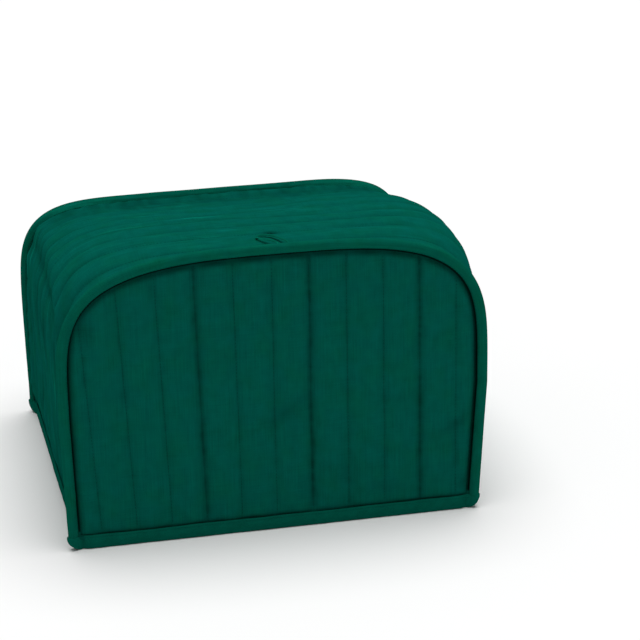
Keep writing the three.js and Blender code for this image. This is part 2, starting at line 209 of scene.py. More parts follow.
class End:
    """An end of the cover, with its seam. Ahead is away from the gusset."""

    def __init__(self, name, depth, count):
        self.name, self.front = name, depth == 0
        self.facing = -1 if self.front else 1
        self.lean = LINE_LEAN if self.front else 0  # of its outer rows of stitching
        self.seed = 51 if self.front else 55  # of its tape's unevenness
        shares = np.linspace(0, 1, count + 1)
        self.x, self.z, self.out_x, self.out_z, self.along = outline(depth, shares)
        down = np.abs(2 * shares - 1)
        if self.front:
            self.tilt = np.full(count + 1, FRONT_TILT)
        else:
            self.tilt = BACK_SIDE_TILT * np.clip((down - 0.2) / 0.7, 0, 1)
        self.lying = smooth(self.tilt, FRONT_TILT, BACK_SIDE_TILT)

    def y(self, z, ahead):
        if self.front:
            return FRONT_SEAM_Y - ahead + 0 * z
        return FRONT_SEAM_Y + GUSSET_DEPTH - BACK_LEAN * z + ahead

    def flange(self, reach, across):
        """(out from the seam, ahead) of points along and across the flange at each station."""
        shape = (-1,) + (1,) * (max(np.ndim(reach), 1) - 1)
        cos, sin = np.cos(self.tilt).reshape(shape), np.sin(self.tilt).reshape(shape)
        return reach * cos - across * sin, reach * sin + across * cos


def placed(name, data):
    made = bpy.data.objects.new(name, data)
    bpy.context.scene.collection.objects.link(made)
    return made


def mesh_object(name, points, faces, flat=None):
    """An object from points in seam millimetres. flat is the place on the flat cloth, with
    its painted shade, which below 0 is painted light instead."""
    points = np.array(points, float)
    points[:, 0] += SEAM_MIDDLE_X
    mesh = bpy.data.meshes.new(name)
    mesh.from_pydata((points * MM).tolist(), [], faces)
    if flat is not None:
        attribute = mesh.attributes.new("flat", "FLOAT_VECTOR", "POINT")
        attribute.data.foreach_set("vector", np.asarray(flat, np.float32).ravel())
    mesh.validate()
    work = bmesh.new()
    work.from_mesh(mesh)
    bmesh.ops.recalc_face_normals(work, faces=work.faces)
    if work.calc_volume(signed=True) < 0:
        bmesh.ops.reverse_faces(work, faces=work.faces)
    work.to_mesh(mesh)
    work.free()
    mesh.shade_smooth()
    return placed(name, mesh)


def grid_faces(rows, columns, wrap=False):
    """Faces over a grid of points, row after row. wrap joins the last column to the first."""
    faces = []
    for r in range(rows - 1):
        a = r * columns
        for c in range(columns if wrap else columns - 1):
            d = (c + 1) % columns
            faces.append((a + c, a + d, a + columns + d, a + columns + c))
    return faces


def end_caps(rings, count, faces=None):
    """Faces that close both ends of a row of rings with count points each."""
    faces = faces or [tuple(range(count))]
    last = (rings - 1) * count
    return [face[::-1] for face in faces] + [tuple(last + i for i in face) for face in faces]


def folded_caps(rings, split, count):
    """The same for a folded strip: outside points 0 to split - 1, inside the rest."""
    inside = count - split
    faces = []
    for i in range(split - 1):
        a = count - 1 - round(i * (inside - 1) / (split - 1))
        b = count - 1 - round((i + 1) * (inside - 1) / (split - 1))
        faces.append((i, i + 1, b, a) if a != b else (i, i + 1, a))
    return end_caps(rings, count, faces)


# The gusset

# Soft hollows and swellings of the solids: their middles' side from -1 to 1 and depth from
# 0 to 1, how far they reach along each, and how far out they stand
GUSSET_FOLDS = [(-0.42, 0.45, 0.10, 0.16, -2.4), (-0.12, 0.60, 0.16, 0.14, -1.6)]
GUSSET_FOLDS += [(0.16, 0.38, 0.14, 0.12, -1.4), (0.36, 0.62, 0.08, 0.12, 1.2)]
GUSSET_FOLDS += [(-0.80, 0.50, 0.12, 0.22, -1.8), (0.78, 0.42, 0.14, 0.20, -1.6)]


def gusset_rows():
    rows = [0.0]
    rows += [GUSSET_FIRST_LINE + QUILT_PITCH * k for k in range(GUSSET_LINES)]
    return rows + [GUSSET_DEPTH]


def gusset_fullness(at):
    """Fullness of the quilting at places behind the front seam, 0 on a row of stitching."""
    rows = np.array(gusset_rows())
    k = np.clip(np.searchsorted(rows, at, side="right") - 1, 0, len(rows) - 2)
    width = rows[k + 1] - rows[k]
    share = (at - rows[k]) / width
    return np.abs(np.sin(np.pi * share)) ** 0.8 * np.minimum(1, width / QUILT_PITCH) ** 2


# The edge between the lit top and the left side: place behind the seam, distance along
SHOULDER_AT = (16, 32, 68, 106, 156, 240)
SHOULDER_ALONG = (-176, -168, -155, -151, -146, -140)


def shoulder_off(at, along):
    return along - np.interp(at, SHOULDER_AT, SHOULDER_ALONG)


def gusset_relief(at, shares, z, along):
    """Folds and wrinkles of the gusset, outward, before its thickness."""
    soft = folded(GUSSET_FOLDS, 2 * shares - 1, at / GUSSET_DEPTH)
    soft += 0.55 * noise(along / 46, at / 24, 3)
    # Long fine wrinkles run along the cloth, most of them near the front seam
    drift = 0.9 * noise(along / 80, at / 60, 5)
    near_front = bell(at, 34, 34) * (0.35 + 0.65 * smooth(along, -30, 110))
    left_side = 1.3 * smooth(-along, 120, 190)
    amount = 0.22 + 0.6 * near_front + left_side
    fine = ridges(along / 62, at / 8.5 + drift, 7) - 0.45
    finer = noise(along / 30, at / 4.6 + drift, 11)
    soft += amount * (0.62 * fine + 0.22 * finer)
    # Small cross puckers ride on the crowns
    soft += 0.22 * gusset_fullness(at) * noise(along / 8, at / 14, 13)
    # A ridge and a hollow where the top turns down at the left
    off = shoulder_off(at, along)
    soft += smooth(at, 12, 30) * (1.3 * bell(off, 8, 7) - 1.7 * bell(off, -6, 7))
    # Gathers in front of the back seam
    behind = GUSSET_DEPTH - at
    soft += 0.7 * bell(behind, 9, 6) * noise(along / 5, at / 30, 15)
    # Fuller beside the binding that lies back along the sides
    soft += 2.2 * bell(behind, 5, 7) * smooth(np.abs(along), 140, 190)
    return soft * above_hem(z)


def gusset_painted_shade(at, z, along):
    """Painted shade on a place of the gusset, 0 to 1, where shade falls: by a seam, a row, a fold
    or the loop.
    """
    rows = np.array(gusset_rows())
    off = np.abs(at[..., None] - rows).min(-1)
    uneven = 0.7 + 0.5 * noise(along / 18, at / 12, 33)
    # Painted shade along the rows of stitching and the seams
    painted_shading = 0.1 * bell(off, 0, 1.4) + 0.16 * bell(off, 0, 5)
    # Painted shade under the ridge where the top turns down at the left, and behind the front
    # binding on that side
    painted_shading += smooth(at, 12, 30) * 0.35 * bell(shoulder_off(at, along), -5, 5)
    painted_shading += 0.25 * bell(at, 22, 11) * bell(along, -162, 22)
    # Painted shade in patches down the left side, which the lamp lights less
    patches = 1 + 0.9 * noise(along / 30, at / 12, 43) + 0.3 * noise(along / 12, at / 6, 47)
    painted_shading += 0.17 * smooth(-along, 155, 190) * np.clip(patches, 0, 1.7)
    painted_shading *= uneven
    # Painted shade along the front seam
    painted_shading = np.maximum(painted_shading, 0.25 * bell(at, 0, 2.6) * uneven)
    # A soft band of painted shade over the gathers in front of the back seam
    behind = GUSSET_DEPTH - at
    gathers_painted_shade = 0.3 + 0.1 * noise(along / 22, 0, 45) + 0.14 * noise(along / 4, behind / 18, 35)
    over = smooth(140 - np.abs(along), 0, 30) * (1 - smooth(behind, 30, 95))
    painted_shading = np.maximum(painted_shading, gathers_painted_shade * over)
    # Painted shadow of the loop
    painted_shading = np.maximum(painted_shading, bell(at, 39.5, 4) * bell(along, 5.5, 6))
    # Painted shade where it goes into the hem tape
    painted_shading = np.maximum(painted_shading, 0.6 * bell(z, FLANGE_BASE - 2, 2.5) * uneven)
    return np.clip(painted_shading, 0, 0.95)


def gusset_points(at, shares, layer):
    """Points of the gusset's outer face (layer 1) or inner face (layer -1)."""
    columns = [outline(a / GUSSET_DEPTH, shares) for a in at]
    x, z, out_x, out_z, along = (np.array(part) for part in zip(*columns))
    at = np.asarray(at, float)[:, None]
    shares = np.asarray(shares, float)[None, :]
    half = lerp(STITCHED, CROWN, gusset_fullness(at) * above_hem(z)) / 2
    relief = gusset_relief(at, shares, z, along)
    move = relief + 1.2 * half if layer > 0 else 0.85 * relief - 0.8 * half
    by_seam = np.minimum(at, GUSSET_DEPTH - at)
    move = lerp(0.9 * layer, move, smooth(by_seam, 0.5, 7))
    if layer > 0:
        # It swells up against the binding behind it
        behind = GUSSET_DEPTH - at
        swell = smooth(behind, 1.8, 3.8) * (1 - smooth(behind, 12, 30))
        move += 2.2 * swell * smooth(175 - np.abs(along), 0, 30)
    y = FRONT_SEAM_Y + at / GUSSET_DEPTH * (GUSSET_DEPTH - BACK_LEAN * z)
    points = joined(x + move * out_x, y, z + move * out_z)
    places = np.broadcast_to(at, along.shape)
    return points, joined(places, along, gusset_painted_shade(places, z, along))


def tucked(row, flat_row, sign, z):
    """The gusset's lower edge inside the hem tape, its ends drawn in from the corners and
    its points kept in order there."""
    count = len(row) // 2
    first, last = FRONT_SEAM_Y + 6, FRONT_SEAM_Y + GUSSET_DEPTH - 7
    k = np.arange(2 * count)
    side = np.where(k < count, 1, -1)
    k = np.where(k < count, k, 2 * count - 1 - k)
    low = first + 0.05 * k
    high = last - 0.05 * (count - 1 - k)
    y = np.clip(row[:, 1], low, high)
    hand = "left" if sign < 0 else "right"
    share = (y - FRONT_SEAM_Y) / GUSSET_DEPTH
    hem = lerp(SEAMS["front"][hand]["hem"], SEAMS["back"][hand]["hem"], share)
    moved = joined(sign * (hem + side * TONGUE_HALF), y, z)
    flat = flat_row.copy()
    flat[:, 1] += sign * (FLANGE_BASE - z)
    return moved, flat


SEAM_START = 1.8  # where the gusset comes out of the bindings
LIP_REACHES = (LIP_REACH, 3.0, 0.6)


def make_gusset():
    shares = np.linspace(0, 1, GUSSET_STATIONS + 1)
    ends = End("front", 0, GUSSET_STATIONS), End("back", 1, GUSSET_STATIONS)
    rows = gusset_rows()
    at = [np.linspace(SEAM_START, rows[1], 9, endpoint=False)]
    at += [np.linspace(a, a + QUILT_PITCH, 13, endpoint=False) for a in rows[1:-2]]
    at += [np.linspace(rows[-2], GUSSET_DEPTH - SEAM_START, 14)]
    at = np.concatenate(at)
    chains = []
    for layer, edge, start in ((1, -GAP / 2 - LIP, LIP_REACHES[-1]), (-1, -GAP / 2, -0.4)):
        body, flat = gusset_points(at, shares, layer)
        lips = []
        for end in ends:
            lip = []
            for reach in (*LIP_REACHES[:-1], start):
                out, ahead = end.flange(reach, edge)
                z = end.z + out * end.out_z
                lip.append(joined(end.x + out * end.out_x, end.y(z, ahead), z))
            lips.append(lip)
        points = np.concatenate([lips[0], body, lips[1][::-1]])
        before = [flat[0] - [reach + SEAM_START, 0, 0] for reach in LIP_REACHES]
        after = [flat[-1] + [reach + SEAM_START, 0, 0] for reach in LIP_REACHES[::-1]]
        chains.append((points, np.concatenate([before, flat, after])))
    (outer, outer_flat), (inner, inner_flat) = chains
    rings = np.concatenate([outer, inner[::-1]]).transpose(1, 0, 2)
    flats = np.concatenate([outer_flat, inner_flat[::-1]]).transpose(1, 0, 2)
    rings, flats = list(rings), list(flats)
    for z in (HEM_HEIGHT + GAP, TONGUE_BOTTOM):
        for sign, i in ((-1, 0), (1, -1)):
            ring, flat = tucked(rings[i], flats[i], sign, z)
            rings.insert(0 if sign < 0 else len(rings), ring)
            flats.insert(0 if sign < 0 else len(flats), flat)
    count = len(rings[0])
    faces = grid_faces(len(rings), count, wrap=True)
    faces += folded_caps(len(rings), count // 2, count)
    return mesh_object("gusset_cloth", np.concatenate(rings), faces, np.concatenate(flats))


# The arched panels

# The front panel's soft folds: middle x and z, reach along each, how far out
PANEL_FOLDS = [
    (-15, 118, 30, 14, -1.0),
    (-4, 98, 12, 22, -0.9),
    (60, 60, 40, 26, 0.9),
    (-95, 62, 26, 30, -0.8),
    (92, 150, 30, 22, 0.8),
]
# Its creases: x and z of both ends, width, how far they sink
PANEL_CREASES = [
    ((-12, 75), (24, 98), 5.0, 0.8),
    ((2, 86), (16, 78), 6.0, 0.7),
    ((112, 56), (137, 71), 4.5, 1.2),
    ((126, 16), (138, 24), 4.0, 1.0),
    ((-137, 168), (-124, 150), 5.0, 1.2),
    ((-122, 110), (-98, 108), 6.0, 0.5),
    ((72, 90), (102, 88), 6.0, 0.5),
    ((-66, 140), (-40, 128), 7.0, 0.5),
    ((30, 44), (62, 34), 7.0, 0.5),
]
STRONG_ROWS = (4, 7, 10)  # rows of stitching drawn tighter than the rest


def row_x(row, z, lean):
    """Where a row of stitching of a panel, or a place between rows, lies at a height."""
    x = FIRST_LINE + QUILT_PITCH * row
    return x + lean * np.maximum(0, -x / LEAN_HALF_WIDTH) * (LEAN_HEIGHT - z) / LEAN_HEIGHT


def row_at(x, z, lean):
    squeeze = 1 - lean / LEAN_HALF_WIDTH * (LEAN_HEIGHT - z) / LEAN_HEIGHT
    plain = np.where(x < 0, x / squeeze, x)
    return (plain - FIRST_LINE) / QUILT_PITCH


def crease_depth(x, z):
    """How far the creases of the front panel sink at places of it."""
    total = 0.0
    for (x0, z0), (x1, z1), width, sink in PANEL_CREASES:
        dx, dz = x1 - x0, z1 - z0
        size = math.hypot(dx, dz)
        share = ((x - x0) * dx + (z - z0) * dz) / size**2
        off = ((x - x0) * -dz + (z - z0) * dx) / size
        total += sink * np.exp(-((2 * share - 1) ** 4)) * bell(off, 0, width)
    return total


def panel_ahead(end, x, z, rim, layer):
    """How far ahead of the seam a panel's face stands. rim is the distance to the arch."""
    row = row_at(x, z, end.lean)
    full = np.abs(np.sin(np.pi * row)) ** 0.8
    seed = 0 if end.front else 40
    move = 0.28 * full * noise(row * 2.2, z / 9, seed + 21)
    move += 0.35 * noise(x / 34, z / 26, seed + 23)
    sink = 0.0
    if end.front:
        move += folded(PANEL_FOLDS, x, z) - crease_depth(x, z)
        sink = 0.8 * sum(bell(row, strong, 0.1) for strong in STRONG_ROWS)
    half = lerp(STITCHED, CROWN, full) / 2
    face = PANEL_AHEAD + move * (1 if layer > 0 else 0.8)
    face += half - sink if layer > 0 else -0.9 * half
    # The face sinks into the seam, with puckers, and into the hem tape
    pucker = 0.5 * noise(x / 9 + z / 9, x / 9 - z / 9, seed + 29) * bell(rim, 3.5, 3.5)
    at_rim = 0.6 if layer > 0 else 0.1
    face = lerp(at_rim, face + pucker * layer, smooth(rim, -0.2, 4.6) ** 0.6)
    at_hem = PANEL_AHEAD + TONGUE_HALF * layer
    return lerp(at_hem, face, smooth(z, FLANGE_BASE - 2, FLANGE_BASE + 6) ** 0.7)


def panel_painted_shade(end, x, z, rim):
    """Painted shade on a place of a panel, 0 to 1, where shade falls: by the seam, the hem, a row
    or a crease.
    """
    row = row_at(x, z, end.lean)
    number = np.round(row)
    off = (row - number) * QUILT_PITCH + 0.55 * noise(number * 7, z / 11, 37)
    broken = 0.55 + 0.4 * noise(number * 5, z / 13, 31) + 0.4 * noise(number * 3, z / 3.2, 39)
    uneven = 0.8 + 0.4 * noise(x / 12, z / 16, 41)
    # Painted shade along the rows of stitching, broken and uneven
    painted_shading = 0.22 * bell(off, 0, 1.2) * np.clip(broken, 0, 1) + 0.07 * bell(off, 0, 4) * uneven
    if end.front:
        # More painted shade along the rows drawn tighter, and in the creases
        strong = sum(bell(row, k, 0.2) for k in STRONG_ROWS)
        drawn = 0.5 + 0.5 * np.clip(broken, 0, 1)
        painted_shading += strong * (0.24 * bell(off, 0, 1.5) + 0.17 * bell(off, 0, 4.5)) * drawn
        painted_shading += 0.16 * crease_depth(x, z)
    # Painted shade at the rim, where the binding casts its shadow, and where it goes into the hem
    # tape
    painted_shading = np.maximum(painted_shading, 0.6 * bell(rim, 0, 0.7) + 0.1 * bell(rim, 0, 3) * uneven)
    painted_shading = np.maximum(painted_shading, 0.8 * bell(z, FLANGE_BASE - 1, 2.2) * uneven)
    return np.clip(painted_shading, 0, 0.97)


GROUP = 2000


def arch_distance(end, x, z):
    """Distance of points to the arch, in small groups to spare memory."""
    nearest = []
    for start in range(0, len(x), GROUP):
        dx = x[start : start + GROUP, None] - end.x[None, :]
        dz = z[start : start + GROUP, None] - end.z[None, :]
        nearest.append(np.sqrt((dx**2 + dz**2).min(1)))
    return np.concatenate(nearest)


PANEL_RINGS = (0.9, 1.8, 2.8, 4.0, 5.4, 7.0)  # rings of points inside the arch
GRID_X = 17  # columns of points from one row of stitching to the next
GRID_Z = 1.7
BASE_POINTS = 132  # along the foot of a panel
TONGUE_END = 126.0  # half width of the edge inside the hem tape


def panel_layout(end):
    """Points of a panel seen from the front, the loop round its edge first, with their
    distance to the arch, and the triangles over them."""
    parts = [(end.x, end.z, np.zeros(len(end.x)))]
    base_x = np.linspace(end.x[-1], end.x[0], BASE_POINTS)[1:-1]
    base_z = np.full(len(base_x), FLANGE_BASE)
    parts.append((base_x, base_z, arch_distance(end, base_x, base_z)))
    loop = len(end.x) + len(base_x)
    for inset in PANEL_RINGS:
        rx, rz = end.x - inset * end.out_x, end.z - inset * end.out_z
        inside = rz > FLANGE_BASE + 1.0
        parts.append((rx[inside], rz[inside], np.full(inside.sum(), inset)))
    heights = np.arange(FLANGE_BASE + 1.4, end.z.max(), GRID_Z)
    rows = np.arange(GRID_X * PANEL_LINES + 1) / GRID_X
    gz, gr = np.meshgrid(heights, rows)
    gz, gx = gz.ravel(), row_x(gr, gz, end.lean).ravel()
    keep = (gz < arch_height(end, gx)) & (np.abs(gx) < end.x.max())
    gx, gz = gx[keep], gz[keep]
    distance = arch_distance(end, gx, gz)
    inside = (distance > PANEL_RINGS[-1] + 0.8) & (np.abs(gx) < 0.99 * side_width(end, gz))
    parts.append((gx[inside], gz[inside], distance[inside]))
    x, z, rim = (np.concatenate(part) for part in zip(*parts))
    found = delaunay_2d_cdt(list(zip(x.tolist(), z.tolist())), [], [list(range(loop))], 1, 1e-6)
    if len(found[0]) != len(x):
        raise RuntimeError(f"{end.name} panel: the layout's points were merged")
    return x, z, rim, loop, [tuple(face) for face in found[2]]


def read_off(places, known, values):
    """Values at places between known ones, which may stand in any order."""
    order = np.argsort(known)
    return np.interp(places, known[order], values[order])


def side_width(end, z):
    """Half width of the arch at heights, of its left and right side's narrower one."""
    half = len(end.x) // 2
    left = read_off(z, end.z[: half + 1], -end.x[: half + 1])
    right = read_off(z, end.z[half:][::-1], end.x[half:][::-1])
    return np.minimum(left, right)


def arch_height(end, x):
    """Height of the arch over places across it, from its left half."""
    widths = np.linspace(0, end.x.max(), 400)
    half = len(end.x) // 2
    heights = read_off(widths, -end.x[: half + 1], end.z[: half + 1])
    return np.interp(np.abs(x), widths, heights)


def make_panel(end, name):
    x, z, rim, loop, triangles = panel_layout(end)
    count = len(x)
    layers, flats = [], []
    for layer in (1, -1):
        ahead = panel_ahead(end, x, z, rim, layer)
        layers.append(joined(x, end.y(z, ahead), z))
        flats.append(joined(x, z, panel_painted_shade(end, x, z, rim)))
    points = list(np.concatenate(layers))
    flat = list(np.concatenate(flats))
    faces = list(triangles)
    faces += [tuple(count + i for i in face[::-1]) for face in triangles]
    # The edge runs on between the layers of the binding, in steps of reach and across, and
    # below into the hem tape, in drops to a height on one side. Painted shade darkens each step.
    arch = len(end.x)
    lips = [np.arange(loop)]
    steps = [(lerp(0.9, 2.2, end.lying), LIP), (lerp(1.5, 2.8, end.lying), LIP)]
    steps += [(LIP_REACH, LIP), (LIP_REACH, 0), (0.9, 0)]
    drops = [(HEM_HEIGHT, 1), (HEM_HEIGHT - 2, 1)]
    drops += [(TONGUE_BOTTOM, 1), (TONGUE_BOTTOM, -1), (HEM_HEIGHT, -1)]
    # Painted shade on the first step is darker over the top, under the binding's shadow
    over = np.concatenate([smooth(150 - np.abs(end.along), 0, 50), np.zeros(loop - arch)])
    shades = [lerp(0.75, 0.95, over), 0.98, 0.98, 0.98, 0.98]
    for (reach, across), (low, side), shade in zip(steps, drops, shades):
        out, ahead = end.flange(reach, GAP / 2 + across)
        ex = end.x + out * end.out_x
        ez = np.maximum(end.z + out * end.out_z, FLANGE_BASE)
        edge = joined(ex, end.y(ez, ahead), ez)
        bx = np.clip(x[arch:loop], -TONGUE_END, TONGUE_END)
        below = joined(bx, end.y(low, PANEL_AHEAD + side * TONGUE_HALF), low)
        start = len(points)
        points += list(edge) + list(below)
        # Painted shade of each step along the arch, lighter below it and near the hem
        lip_painted_shade = np.where(np.arange(loop) < arch, shade, 0.2)
        lip_painted_shade = np.where(z[:loop] < FLANGE_BASE + 1.5, 0.2, lip_painted_shade)
        flat += list(joined(x[:loop], z[:loop], lip_painted_shade))
        lips.append(start + np.arange(loop))
    lips.append(count + np.arange(loop))
    order = np.concatenate(lips).tolist()
    faces += [tuple(order[i] for i in face) for face in grid_faces(len(lips), loop, wrap=True)]
    return mesh_object(name, points, faces, flat)


# The tapes

TURNED_IN = 0.75  # how far a tape's edge is turned in


def tape_section():
    """Section of a tape folded over an edge, as (reach, across), outside and then inside."""
    start, nose = 2.5, BINDING_WIDTH
    bend = FLANGE_HALF
    walls = [(start + (nose - bend - start) * t, FLANGE_HALF) for t in np.linspace(0, 1, 15)]
    walls = [(r, a - TURNED_IN * bell(r, start, 0.5)) for r, a in walls]
    turn = np.linspace(math.pi / 2, 0, 8, endpoint=False)[1:]
    front = walls + [(nose - bend + bend * math.cos(a), bend * math.sin(a)) for a in turn]
    outside = front + [(nose, 0.0)] + [(r, -a) for r, a in front[::-1]]
    slot = [(start + 0.25, -SLOT_HALF), (4.5, -SLOT_HALF), (LIP_REACH, -SLOT_HALF)]
    slot += [(LIP_REACH + 0.35, 0.0)]
    slot += [(r, -a) for r, a in slot[2::-1]]
    return np.array(outside), np.array(slot)


TAPE_STITCH = 3.4  # reach of the row of stitching on an arched binding


def binding_shape(end, section):
    """Reach and across of the tape's outside at each station, with its seam and puckers."""
    outside, slot = section
    along = end.along[:, None]
    reach, across = np.broadcast_arrays(outside[:, 0], outside[:, 1] + 0 * along)
    wall = np.sign(across) * smooth(np.abs(across), 0.8, 2.2)
    soft = 0.22 * noise(along / 17, reach / 5 + 3 * wall, end.seed)
    soft += 0.13 * noise(along / 6, reach / 2.5 + 3 * wall, end.seed + 1)
    fat = 0.3 * bell(reach, 6.2, 2.2)
    seam = 0.42 * bell(reach, TAPE_STITCH, 0.55)
    across = across + wall * (soft + fat - seam)
    tip = smooth(reach, 7, BINDING_WIDTH)
    reach = reach + tip * (0.25 * noise(along / 26, 0, end.seed + 2) - 0.1)
    inside = np.broadcast_to(slot, (len(end.along), *slot.shape))
    reach = np.concatenate([reach, inside[..., 0]], 1)
    across = np.concatenate([across, inside[..., 1]], 1)
    # Where it lies back its edges start further out, clear of the panel
    reach = reach + end.lying[:, None] * (1 - smooth(reach, 2.5, 6.5))
    return reach, across


BINDING_FOOT = HEM_HEIGHT - 1.2  # the lower ends are wrapped by the hem tape


def make_binding(end, name):
    section = tape_section()
    reach, across = binding_shape(end, section)
    out, ahead = end.flange(reach, across)
    x = end.x[:, None] + out * end.out_x[:, None]
    z = np.maximum(end.z[:, None] + out * end.out_z[:, None], FLANGE_BASE)
    rings = joined(x, end.y(z, ahead), z)
    feet = []
    for i in (0, -1):
        foot = rings[i].copy()
        foot[:, 2] = BINDING_FOOT
        foot[:, 0] -= np.sign(foot[:, 0]) * 0.2
        feet.append(foot)
    rings = np.concatenate([feet[:1], rings, feet[1:]])
    count = rings.shape[1]
    faces = grid_faces(len(rings), count, wrap=True)
    split = len(section[0])
    faces += folded_caps(len(rings), split, count)
    unrolled = run_along(section[0])
    unrolled = np.concatenate([unrolled, np.linspace(unrolled[-1], 0, count - split)])
    along = np.concatenate([end.along[:1] - 2, end.along, end.along[-1:] + 2])
    rest = unrolled[:split].max() - unrolled
    inner = np.arange(count) >= split
    near = (rest < unrolled) & ~inner  # the side towards the gusset
    # Painted shade at the tape's edges, light on the side towards the gusset, and full inside its
    # slot
    painted_shading = np.where(near, 0.1, 0.9) * bell(np.minimum(unrolled, rest), -0.3, 0.8)
    painted_shading = np.where(inner, 0.95, painted_shading)
    if not end.front:
        # Painted light: paler where it stands up behind the top and faces forward
        over = smooth(145 - np.abs(along), 0, 40)[:, None]
        painted_shading = painted_shading - over * np.where(near, np.clip(1 - rest / 6.5, 0, 1), 0)
    flat = joined(unrolled[None, :], along[:, None], painted_shading)
    return mesh_object(name, rings.reshape(-1, 3), faces, flat.reshape(-1, 3))


HEM_STITCH = 8.4  # height of the row of stitching on the hem tape


HEM_STEP = 2.0


def hem_path():
    """The middle of the hem seen from above: places, outward directions, distance along."""
    front_y = FRONT_SEAM_Y - PANEL_AHEAD
    back_y = FRONT_SEAM_Y + GUSSET_DEPTH - BACK_LEAN * (HEM_HEIGHT + HEM_WEB) / 2 + PANEL_AHEAD
    front, back = SEAMS["front"], SEAMS["back"]
    corners = [
        (front["right"]["hem"] - HEM_CORNER, front_y + HEM_CORNER, -90),
        (back["right"]["hem"] - HEM_CORNER, back_y - HEM_CORNER, 0),
        (HEM_CORNER - back["left"]["hem"], back_y - HEM_CORNER, 90),
        (HEM_CORNER - front["left"]["hem"], front_y + HEM_CORNER, 180),
    ]
    places, outward = [], []
    for k, (x, y, start) in enumerate(corners):
        for angle in np.radians(np.linspace(start, start + 90, 10)):
            out = np.array([math.cos(angle), math.sin(angle)])
            places.append(np.array([x, y]) + HEM_CORNER * out)
            outward.append(out)
        x2, y2, start2 = corners[(k + 1) % 4]
        turn = math.radians(start2)
        goal = np.array([x2, y2]) + HEM_CORNER * np.array([math.cos(turn), math.sin(turn)])
        here = places[-1]
        count = int(np.linalg.norm(goal - here) / HEM_STEP)
        for share in np.arange(1, count) / count:
            places.append(lerp(here, goal, share))
            outward.append(outward[-1])
    places, outward = np.array(places), np.array(outward)
    return places, outward, run_along(places)


def hem_section():
    """Section of the hem tape as (outward, height), outside and then inside the slot."""
    low = 1.9
    heights = np.linspace(HEM_HEIGHT, low, 15)
    wall = [(FLANGE_HALF - TURNED_IN * bell(z, HEM_HEIGHT, 0.5), z) for z in heights]
    turn = np.linspace(0, math.pi / 2, 6, endpoint=False)[1:]
    wall += [(0.75 + low * math.cos(a), low - low * math.sin(a)) for a in turn] + [(0.6, 0.0)]
    outside = wall + [(-o, z) for o, z in wall[::-1]]
    slot = [(-SLOT_HALF, HEM_HEIGHT - 0.25), (-SLOT_HALF, 6.0), (-SLOT_HALF, HEM_WEB)]
    slot += [(0.0, HEM_WEB - 0.3)] + [(-o, z) for o, z in slot[::-1]]
    return np.array(outside), np.array(slot)


def hem_shape(run, section):
    """Outward and height of the hem tape's outside along the hem, as for a binding."""
    outside, slot = section
    along = run[:, None]
    out, z = np.broadcast_arrays(outside[:, 0], outside[:, 1] + 0 * along)
    wall = np.sign(out) * smooth(np.abs(out), 1.2, 2.4)
    soft = 0.2 * noise(along / 21, z / 5 + 2 * wall, 61) + 0.1 * noise(along / 7, z / 3 + wall, 62)
    seam = 0.42 * bell(z, HEM_STITCH, 0.55)
    fat = 0.25 * bell(z, 4.6, 2.2)
    out = out + wall * (soft + fat - seam)
    edge = smooth(z, 6, HEM_HEIGHT)
    z = z + edge * (0.32 * noise(along / 15, wall, 63) + 0.1)
    inside = np.broadcast_to(slot, (len(run), *slot.shape))
    return np.concatenate([out, inside[..., 0]], 1), np.concatenate([z, inside[..., 1]], 1)


def make_hem_ring():
    places, outward, run = hem_path()
    section = hem_section()
    out, z = hem_shape(run, section)
    xy = places[:, None, :] + out[..., None] * outward[:, None, :]
    rings = np.concatenate([xy, z[..., None]], -1)
    count = rings.shape[1]
    total = len(rings) * count
    faces = grid_faces(len(rings) + 1, count, wrap=True)
    faces = [tuple(i % total for i in face) for face in faces]
    return mesh_object("hem_tape", rings.reshape(-1, 3), faces)


EAR_HALF = 2.95  # the hem tape wraps round the ends of the bindings
EAR_CORNER = 9.0
EAR_BEVEL = 1.1


def make_ear(end, sign):
    """The end of a binding wrapped by the hem tape, with a round lower corner."""
    reach, height = BINDING_WIDTH + 0.3, HEM_HEIGHT + 0.15
    turn = np.linspace(-math.pi / 2, 0, 12)
    rim = [(-1.0, 0.0)]
    rim += [
        (reach - EAR_CORNER + EAR_CORNER * math.cos(a), EAR_CORNER + EAR_CORNER * math.sin(a))
        for a in turn
    ]
    rim += [(reach - 0.1, height - 0.6), (reach - 0.7, height), (-1.0, height)]
    work = bmesh.new()
    work_faces = []
    for across in (-EAR_HALF, EAR_HALF):
        corners = [work.verts.new((r, across, z)) for r, z in rim]
        work_faces.append(work.faces.new(corners))
    lower, upper = (list(face.verts) for face in work_faces)
    for i in range(len(rim)):
        j = (i + 1) % len(rim)
        work.faces.new((lower[i], lower[j], upper[j], upper[i]))
    bmesh.ops.recalc_face_normals(work, faces=work.faces)
    edges = [e for face in work_faces for e in face.edges]
    bevel = dict(offset=EAR_BEVEL, segments=4, profile=0.5, affect="EDGES", clamp_overlap=True)
    bmesh.ops.bevel(work, geom=edges, **bevel)
    station = 0 if sign < 0 else -1
    cos, sin = math.cos(end.tilt[station]), math.sin(end.tilt[station])
    hem_x = abs(end.x[station])
    for vert in work.verts:
        r, across, z = vert.co
        out, ahead = r * cos - across * sin, r * sin + across * cos
        vert.co = (sign * (hem_x + out) + SEAM_MIDDLE_X, end.y(HEM_HEIGHT / 2, ahead), max(z, 0))
        vert.co *= MM
    mesh = bpy.data.meshes.new("ear")
    bmesh.ops.recalc_face_normals(work, faces=work.faces)
    work.to_mesh(mesh)
    work.free()
    mesh.shade_smooth()
    return placed("ear", mesh)


